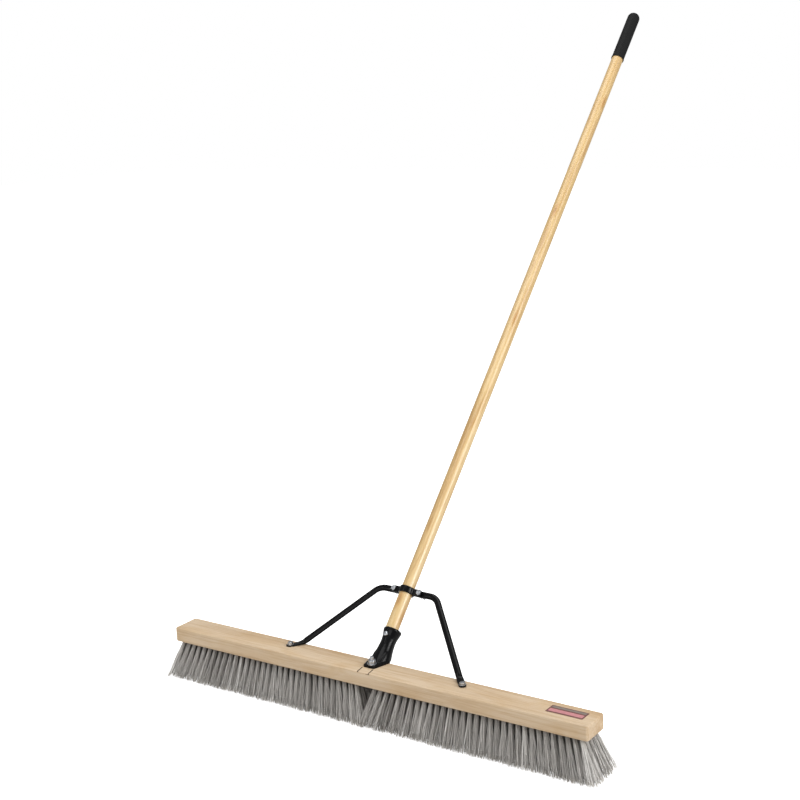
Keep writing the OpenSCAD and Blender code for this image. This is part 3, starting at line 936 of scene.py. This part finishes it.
# ---------------------------------------------------------------- bracket
def build_bracket():
    parts = []
    ex = np.array([1.0, 0, 0])
    # socket: its outside stands a little behind and beside the handle's axis, narrow in the
    # middle, flared into the foot and out to the collar
    OC = O + ex * 1.5 - N * 2.7
    prof = [(0, -22), (21.8, -22), (19.4, 0), (18.6, 5), (17.6, 11), (16.3, 18), (15.1, 25), (14.3, 32), (14.0, 39), (14.2, 45),
            (14.9, 50), (15.9, 54.5), (16.8, 58), (17.3, 60.5), (17.45, 62.4), (17.2, 64.2), (16.5, 65), (0, 65)]
    parts.append(lathe(prof, 96, (OC, ex, -N, A)))
    # foot: outline lofted up into a rounded pad
    def outline(grow):
        pts = []
        for cx, cy, a0, a1, r in ((-8.6, -4.6, 190, 262, 3.6), (9.6, -4.6, 278, 350, 3.6)):
            for k in range(8):
                a = math.radians(a0 + (a1 - a0) * k / 7)
                pts.append((cx + (r + grow) * math.cos(a), cy + (r + grow) * math.sin(a)))
        pts += [(15.4 + grow, 3.0), (18.0 + grow, 12.0), (20.6 + grow, 21.0), (23.0 + grow, 30.0 + min(grow, 0))]
        pts += [(-21.0 - grow, 30.0 + min(grow, 0)), (-18.8 - grow, 21.0), (-16.5 - grow, 12.0), (-14.2 - grow, 3.0)]
        return np.array(pts)
    rings = []
    for g, z in ((-0.3, TOP + 0.02), (0, TOP + 0.8), (0, TOP + 3.6), (-0.8, TOP + 4.8), (-2.2, TOP + 5.3)):
        o = outline(g)
        rings.append(np.column_stack([o, np.full(len(o), z)]))
    parts.append(ring_sweep(rings))
    # two cheeks that run from the foot up to the socket either side of the bolt
    for x in (-8.6, 12.4):
        poly = [(9.0, TOP + 1), (42, TOP + 1), (46, TOP + 13), (39, TOP + 20), (29, TOP + 18), (20, TOP + 12.5), (13, TOP + 7.5)]
        rings = []
        for xx in (x - 2.2, x + 2.2):
            rings.append(np.array([(xx, y, z) for y, z in poly]))
        parts.append(ring_sweep(rings))
    # middle web, a little lower than the cheeks
    poly = [(14.5, TOP + 1), (42, TOP + 1), (52, TOP + 22), (44, TOP + 28), (30, TOP + 18), (22, TOP + 9)]
    rings = []
    for xx in (-8.0, 12.0):
        rings.append(np.array([(xx, y, z) for y, z in poly]))
    parts.append(ring_sweep(rings))
    # boss round the bolt
    parts.append(lathe([(0, TOP + 0.5), (10.4, TOP + 0.5), (10.4, TOP + 4.6), (9.8, TOP + 5.0), (0, TOP + 5.0)], 48,
                       ((2.0, 1.5, 0), ex, (0, 1, 0), (0, 0, 1))))
    objs = [raw("part%d" % k, c, f) for k, (c, f) in enumerate(parts)]
    ob = objs[0]
    for k, o in enumerate(objs[1:]):
        md = ob.modifiers.new("u%d" % k, "BOOLEAN")
        md.operation = "UNION"
        md.object = o
        md.solver = "EXACT"
    apply_mods(ob)
    for o in objs[1:]:
        bpy.data.objects.remove(o)
    # trim level with the block top
    co, faces = ring_sweep([np.array([(-60, -40, z), (60, -40, z), (60, 120, z), (-60, 120, z)]) for z in (TOP - 60, TOP)])
    cut(ob, [raw("t", co, faces)])
    md = ob.modifiers.new("vox", "REMESH")
    md.mode = "VOXEL"
    md.voxel_size = 0.00062
    md.adaptivity = 0.0
    sm = ob.modifiers.new("sm", "SMOOTH")
    sm.factor = 0.5
    sm.iterations = 7
    apply_mods(ob)
    # smoothing lifts the base off the block a little; press it flat again
    me = ob.data
    co = np.zeros(len(me.vertices) * 3)
    me.vertices.foreach_get("co", co)
    co = co.reshape(-1, 3)
    low = co[:, 2] < (TOP + 0.7) * MM
    co[low, 2] = TOP * MM
    me.vertices.foreach_set("co", co.ravel())
    me.update()
    tools = []
    c1, f1 = lathe([(0, H0 - 0.5), (9.55, H0 - 0.5), (9.55, 57), (HR + 0.05, 57), (HR + 0.05, 90), (0, 90)], 72, (O, ex, -N, A))
    tools.append(raw("bore", c1, f1))
    c2, f2 = lathe([(0, TOP - 3), (4.2, TOP - 3), (4.2, TOP + 20), (0, TOP + 20)], 40, ((2.0, 1.5, 0), ex, (0, 1, 0), (0, 0, 1)))
    tools.append(raw("bh", c2, f2))
    c3, f3 = lathe([(0, TOP + 5.0), (9.6, TOP + 5.0), (9.6, TOP + 30), (0, TOP + 30)], 48, ((2.0, 1.5, 0), ex, (0, 1, 0), (0, 0, 1)))
    tools.append(raw("seat", c3, f3))
    cut(ob, tools)
    return ob


# ---------------------------------------------------------------- make the pieces
block = build_block()
finish_piece(block, "head", M_BLOCK)
tools = []
for x0, ang in ((-12.0, 10.0), (12.0, 10.0)):
    ca, sa = math.cos(math.radians(ang)), math.sin(math.radians(ang))
    sec = []
    for yy in (-24.0, 0.0):
        sec.append(np.array([(x0 + xx * ca - yy * sa, -9.5 + xx * sa + yy * ca, z) for xx, z in ((-1.15, TOP + 1), (-0.95, TOP - 1.0), (0.0, TOP - 1.6), (0.95, TOP - 1.0), (1.15, TOP + 1))]))
    tools.append(raw("score", *ring_sweep(sec)))
c, f = lathe([(0, TRIM - 2), (5.2, TRIM - 2), (5.2, TRIM + 5), (4.2, TRIM + 5), (4.2, TOP + 3), (0, TOP + 3)], 40, ((2.0, 1.5, 0), (1, 0, 0), (0, 1, 0), (0, 0, 1)))
tools.append(raw("bolt_hole", c, f))
cut(block, tools)
block.data.materials.clear()
block.data.materials.append(M_BLOCK)
block.data.materials.append(M_GROOVE_SHADE)
# painted shade: faces inside the two score grooves get the dark groove material
for pf in block.data.polygons:
    c = pf.center / MM
    inside = False
    if TOP - 2.0 < c.z < TOP - 0.03 and c.y < -9.0 and c.y > -BLOCK_W / 2 + 0.02:
        for x0 in (-12.0, 12.0):
            dx, dy = c.x - x0, c.y + 9.5
            if abs(dx * math.cos(math.radians(10)) + dy * math.sin(math.radians(10))) < 1.2:
                inside = True
    pf.material_index = 1 if inside else 0
crisp(block, 40)
block.name = "block_body"
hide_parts("block")

filaments = build_tufts()
node["tuft_staples"].data.materials.clear()
node["tuft_staples"].data.materials.append(M_ZINC)

brace = build_brace()
cut(brace, ear_cutters())
finish_piece(brace, "head", M_BLACK)
crisp(brace, 50)
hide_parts("brace")

strap = build_strap()
cut(strap, ear_cutters())
finish_piece(strap, "head", M_BLACK)
crisp(strap, 50)
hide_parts("clamp_strap")

bracket = build_bracket()
finish_piece(bracket, "head", M_BLACK)
crisp(bracket, 48)
bracket.name = "bracket_casting"
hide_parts("bracket")

X, Y, Z = np.eye(3)

# clamp bolts, washers and nuts
parts = []
for i in (-1, 1):
    hc, hf = hex_head(9.0, 3.4, 0.8)
    parts.append((place(hc, on_axis(CLAMP_S, 3.1, i * CLAMP_X), X, -A, N), hf))
    parts.append(lathe([(0, -24), (1.9, -24), (2.45, -23.2), (2.45, 3.2), (0, 3.2)], 28, (on_axis(CLAMP_S, 0, i * CLAMP_X), X, -A, N)))
ob = add("clamp_bolt_pair", *join(parts), "head", "plated_steel", M_ZINC)
crisp(ob, 30)
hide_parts("clamp_bolts")
parts = []
for i in (-1, 1):
    parts.append(lathe([(2.7, 0), (5.3, 0), (5.5, -0.2), (5.5, -1.0), (5.3, -1.2), (2.7, -1.2), (2.7, 0)], 36, (on_axis(CLAMP_S, -8.2, i * CLAMP_X), X, -A, N)))
ob = add("clamp_washer_pair", *join(parts), "head", "plated_steel", M_ZINC)
crisp(ob, 30)
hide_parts("clamp_washers")
parts = []
for i in (-1, 1):
    hc, hf = hex_head(9.0, 4.2, 0.8)
    parts.append((place(hc, on_axis(CLAMP_S, -9.4, i * CLAMP_X), X, A, -N), hf))
ob = add("clamp_nut_pair", *join(parts), "head", "plated_steel", M_ZINC)
crisp(ob, 30)
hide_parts("clamp_nuts")

# foot screws: hexagon washer-head wood screws
parts = []
for i in (-1, 1):
    hc, hf = hex_head(9.6, 3.8, 0.9)
    parts.append((place(hc, (i * FOOT_X, FOOT_SY, TOP + 4.1), X, Y, Z), hf))
    parts.append(lathe([(0, TOP - 12), (1.75, TOP - 9), (1.75, TOP + 4.2), (0, TOP + 4.2)], 24, ((i * FOOT_X, FOOT_SY, 0), X, Y, Z)))
ob = add("foot_screw_pair", *join(parts), "head", "plated_steel", M_ZINC)
crisp(ob, 30)
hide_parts("foot_screws")
parts = []
for i in (-1, 1):
    parts.append(lathe([(2.2, 0), (6.2, 0), (6.5, 0.25), (6.5, 0.75), (6.2, 1.0), (2.2, 1.0), (2.2, 0)], 40, ((i * FOOT_X, FOOT_SY, TOP + 3.1), X, Y, Z)))
ob = add("foot_washer_pair", *join(parts), "head", "plated_steel", M_ZINC)
crisp(ob, 30)
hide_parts("foot_washers")

# bracket bolt, washer and nut
bo = np.array([2.0, 1.5, 0])
co, fa = lathe([(0, TRIM + 0.1), (3.5, TRIM + 0.3), (5.0, TRIM + 1.6), (5.1, TRIM + 4.6), (3.95, TRIM + 4.9), (3.95, TOP + 18.4), (3.4, TOP + 19.0), (0, TOP + 19.0)], 40, (bo, X, Y, Z))
ob = add("bracket_bolt_shank", co, fa, "head", "plated_steel", M_ZINC)
crisp(ob, 30)
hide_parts("bracket_bolt")
co, fa = lathe([(4.2, 0), (8.7, 0), (9.0, 0.3), (9.0, 1.3), (8.6, 1.6), (4.2, 1.6), (4.2, 0)], 48, (bo + Z * (TOP + 5.0), X, Y, Z))
ob = add("bracket_flat_washer", co, fa, "head", "plated_steel", M_ZINC)
crisp(ob, 30)
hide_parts("bracket_washer")
hc, hf = hex_head(13.0, 6.5, 1.2)
ob = add("bracket_hex_nut", place(hc, bo + Z * (TOP + 6.6), X, Y, Z), hf, "head", "plated_steel", M_ZINC)
crisp(ob, 30)
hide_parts("bracket_nut")

# collar screw: pan head with a cross recess
sd = N
SS = 50.5
sy = A
sx = np.cross(sy, sd)
co, fa = lathe([(0, 9.6), (2.05, 9.6), (2.05, 12.9), (4.3, 13.0), (4.6, 13.4), (4.55, 14.4), (3.9, 15.5), (2.6, 16.1), (0, 16.3)], 40, (on_axis(SS), sx, sy, sd))
scr = raw("collar_pan_screw", co, fa)
tl = []
for a_, b_ in ((0.45, 2.1), (2.1, 0.45)):
    c, f = ring_sweep([np.array([(-a_, -b_, z), (a_, -b_, z), (a_, b_, z), (-a_, b_, z)], float) for z in (15.0, 19)])
    tl.append(raw("slot", place(c, on_axis(SS), sx, sy, sd), f))
cut(scr, tl)
finish_piece(scr, "head", M_ZINC)
crisp(scr, 30)
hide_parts("collar_screw")

# label: a thin film with softly cut corners, its own frame at its middle
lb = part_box("label")
lc = (lb[0] + lb[1]) / 2 * 1000
lw, lh = (lb[1] - lb[0])[0] * 500, (lb[1] - lb[0])[1] * 500
pts = []
for cx, cy, a0 in ((lw - 1.5, lh - 1.5, 0), (-lw + 1.5, lh - 1.5, 90), (-lw + 1.5, -lh + 1.5, 180), (lw - 1.5, -lh + 1.5, 270)):
    for k in range(6):
        a = math.radians(a0 + 18 * k)
        pts.append((lc[0] + cx + 1.5 * math.cos(a), lc[1] + cy + 1.5 * math.sin(a)))
pts = np.array(pts)
ctr = np.array([lc[0], lc[1]])
rings = []
for g, z in ((0, TOP + 0.01), (0, TOP + 0.26), (-0.15, TOP + 0.34)):
    p = ctr + (pts - ctr) * (1 + g / 35)
    rings.append(np.column_stack([p, np.full(len(p), z)]))
co, fa = ring_sweep(rings)
label = add("label_film", co, fa, "head", "label_film", M_LABEL, smooth=False,
            keep_local=Matrix.Translation((lc[0] * MM, lc[1] * MM, TOP * MM)))
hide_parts("label")

# handle and grip, in a frame that lies on the handle's axis
HM = Matrix((( 1, 0, 0, 0), (0, -N[1], A[1], 0), (0, -N[2], A[2], 0), (0, 0, 0, 1)))
HM = Matrix.Translation(Vector(O * MM)) @ HM
prof = [(0, H0), (8.2, H0), (9.0, H0 + 0.5), (9.5, H0 + 1.4), (9.5, 57.2), (11.8, 57.2), (12.4, 57.5), (HR, 58.2)]
zs = np.linspace(62, H0 + HL - 22, 150)
prof += [(HR - 0.04 + 0.035 * math.sin(z * 0.021) + 0.0, z) for z in zs]
prof += [(12.2, H0 + HL - 14.5), (10.5, H0 + HL - 13.2), (0, H0 + HL - 13.0)]
co, fa = lathe(prof, 72, (O, X, -N, A))
handle = add("handle_stick", co, fa, "handle", "handle_wood", M_HANDLE, keep_local=HM)
crisp(handle, 55)
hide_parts("handle")

GE = H0 + HL + 6.0
GL, GR = 136.0, 13.8
prof = [(12.75, GE - GL + 6.0), (12.75, GE - GL + 0.6), (13.0, GE - GL + 0.1), (13.9, GE - GL), (14.35, GE - GL + 0.6), (14.45, GE - GL + 1.8), (14.3, GE - GL + 3.4), (13.85, GE - GL + 5.0)]
for z in np.linspace(GE - GL + 7, GE - 14, 90):
    prof.append((GR - 0.05 + 0.06 * math.sin((z - GE) * 0.9) * 0.4, z))
for k in range(1, 15):
    a = math.radians(90 * k / 14)
    prof.append((GR * math.cos(a) if k < 14 else 0.0, GE - 13.4 + 13.4 * math.sin(a)))
co, fa = lathe(prof, 96, (O, X, -N, A))
grip = add("grip_sleeve", co, fa, "handle", "grip_rubber", M_GRIP, keep_local=HM)
crisp(grip, 50)
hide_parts("grip")

# ---------------------------------------------------------------- stage, light, camera
def flat_mat(name, col, rough):
    m, nt, bsdf = material(name)
    bsdf.inputs["Base Color"].default_value = (*col, 1)
    bsdf.inputs["Roughness"].default_value = rough
    return m


bm = bmesh.new()
bmesh.ops.create_grid(bm, x_segments=4, y_segments=4, size=14.0)
me = bpy.data.meshes.new("studio_floor")
bm.to_mesh(me)
bm.free()
floor = bpy.data.objects.new("studio_floor", me)
bpy.context.scene.collection.objects.link(floor)
floor.location = (0, 0, -0.0003)
paper = flat_mat("floor_paper", (0.80, 0.80, 0.795), 0.9)
pn = paper.node_tree
pb = pn.nodes["Principled BSDF"]
pb.inputs["Specular IOR Level"].default_value = 0.0
pb.inputs["Emission Color"].default_value = (1.0, 1.0, 1.0, 1)
ray = pn.nodes.new("ShaderNodeLightPath")
pn.links.new(math_node(pn, "MULTIPLY", ray.outputs["Is Camera Ray"], 0.75), pb.inputs["Emission Strength"])
me.materials.append(paper)

world = bpy.data.worlds.new("studio")
bpy.context.scene.world = world
world.use_nodes = True
wn = world.node_tree
bg = wn.nodes["Background"]
bg.inputs["Color"].default_value = (1.0, 1.0, 1.0, 1)
wray = wn.nodes.new("ShaderNodeLightPath")
wn.links.new(math_node(wn, "ADD", math_node(wn, "MULTIPLY", wray.outputs["Is Camera Ray"], 0.58), 0.42), bg.inputs["Strength"])


def area(name, loc, target, size, power, col=(1, 1, 1)):
    li = bpy.data.lights.new(name, "AREA")
    li.shape = "RECTANGLE"
    li.size, li.size_y = size
    li.energy = power
    li.color = col
    ob = bpy.data.objects.new(name, li)
    bpy.context.scene.collection.objects.link(ob)
    ob.location = loc
    d = Vector(target) - Vector(loc)
    ob.rotation_euler = d.to_track_quat("-Z", "Y").to_euler()
    return ob


sun = bpy.data.lights.new("key", "SUN")
sun.energy = 1.25
sun.angle = math.radians(28)
key = bpy.data.objects.new("key", sun)
bpy.context.scene.collection.objects.link(key)
key.rotation_euler = Vector((-0.86, -0.02, -0.50)).to_track_quat("-Z", "Y").to_euler()
area("strip", (2.45, 0.12, 0.93), (0, 0.05, 0.13), (0.14, 1.5), 13)
area("top", (-0.3, 0.0, 4.2), (0, 0.2, 0.1), (3.4, 2.6), 82)
area("front", (0.4, -4.2, 2.2), (0, 0, 0.2), (3.6, 2.0), 56)
area("left", (-1.4, -1.6, 2.2), (0, 0, 0.2), (0.3, 1.4), 6)

cam_data = bpy.data.cameras.new("camera")
cam = bpy.data.objects.new("camera", cam_data)
bpy.context.scene.collection.objects.link(cam)
cam_data.sensor_fit = "HORIZONTAL"
cam_data.sensor_width = 36.0
cam_data.lens = 64.846
cam_data.clip_end = 100
C = Vector((1.4733842, -1.9795415, 1.0666 + 0.073))
right = Vector((0.8240947101784397, 0.5649786923741388, -0.040828737662602886))
up = Vector((-0.08878390831975688, 0.20001720709955495, 0.9757615151703631))
fwd = Vector((-0.5594509149866344, 0.8004949681461477, -0.21499413874177037))
cam.matrix_world = Matrix((
    (right.x, up.x, -fwd.x, C.x),
    (right.y, up.y, -fwd.y, C.y),
    (right.z, up.z, -fwd.z, C.z),
    (0, 0, 0, 1)))
bpy.context.scene.camera = cam
bpy.context.scene.view_settings.view_transform = "Standard"
bpy.context.scene.view_settings.look = "None"
